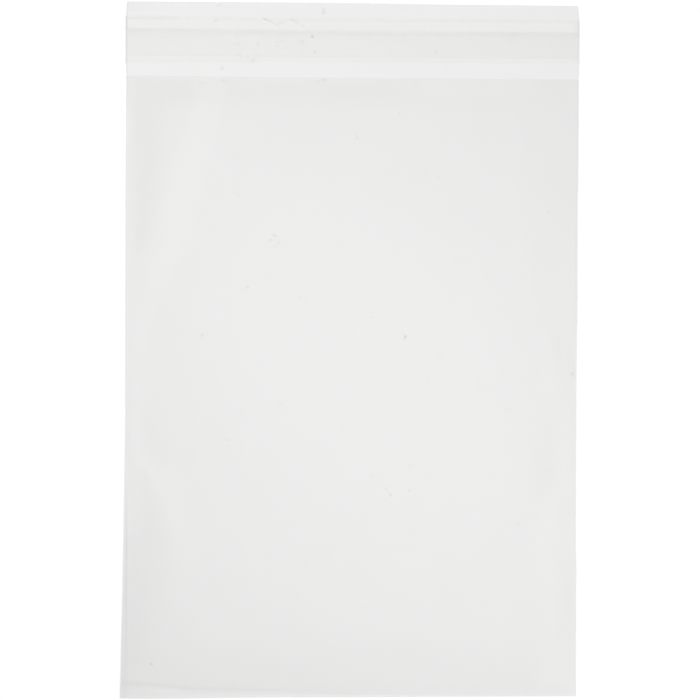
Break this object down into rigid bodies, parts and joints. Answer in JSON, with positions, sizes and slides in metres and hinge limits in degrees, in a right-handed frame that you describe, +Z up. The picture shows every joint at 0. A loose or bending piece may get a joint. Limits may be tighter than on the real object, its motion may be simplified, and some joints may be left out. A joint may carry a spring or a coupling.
{
  "type": "cellophane bag",
  "caption": "Flat clear cellophane bag for sheets of paper, folded at the bottom and welded down both sides, with an adhesive flap under a peel-off liner.",
  "frame": {"origin": "centre of the area that the bag covers, on the surface it lies on", "axes": "+Y runs from the bottom fold to the flap's cut edge, +X across the bag, +Z up out of the front panel"},
  "size_m": [0.2276, 0.345, 0.0025],
  "materials": {
    "film": "clear glossy film",
    "adhesive": "clear tacky coat",
    "liner": "clear smooth film"
  },
  "bodies": {
    "root": {"bag_film": "film", "adhesive_strip": "adhesive", "release_liner": "liner"}
  },
  "joints": []
}
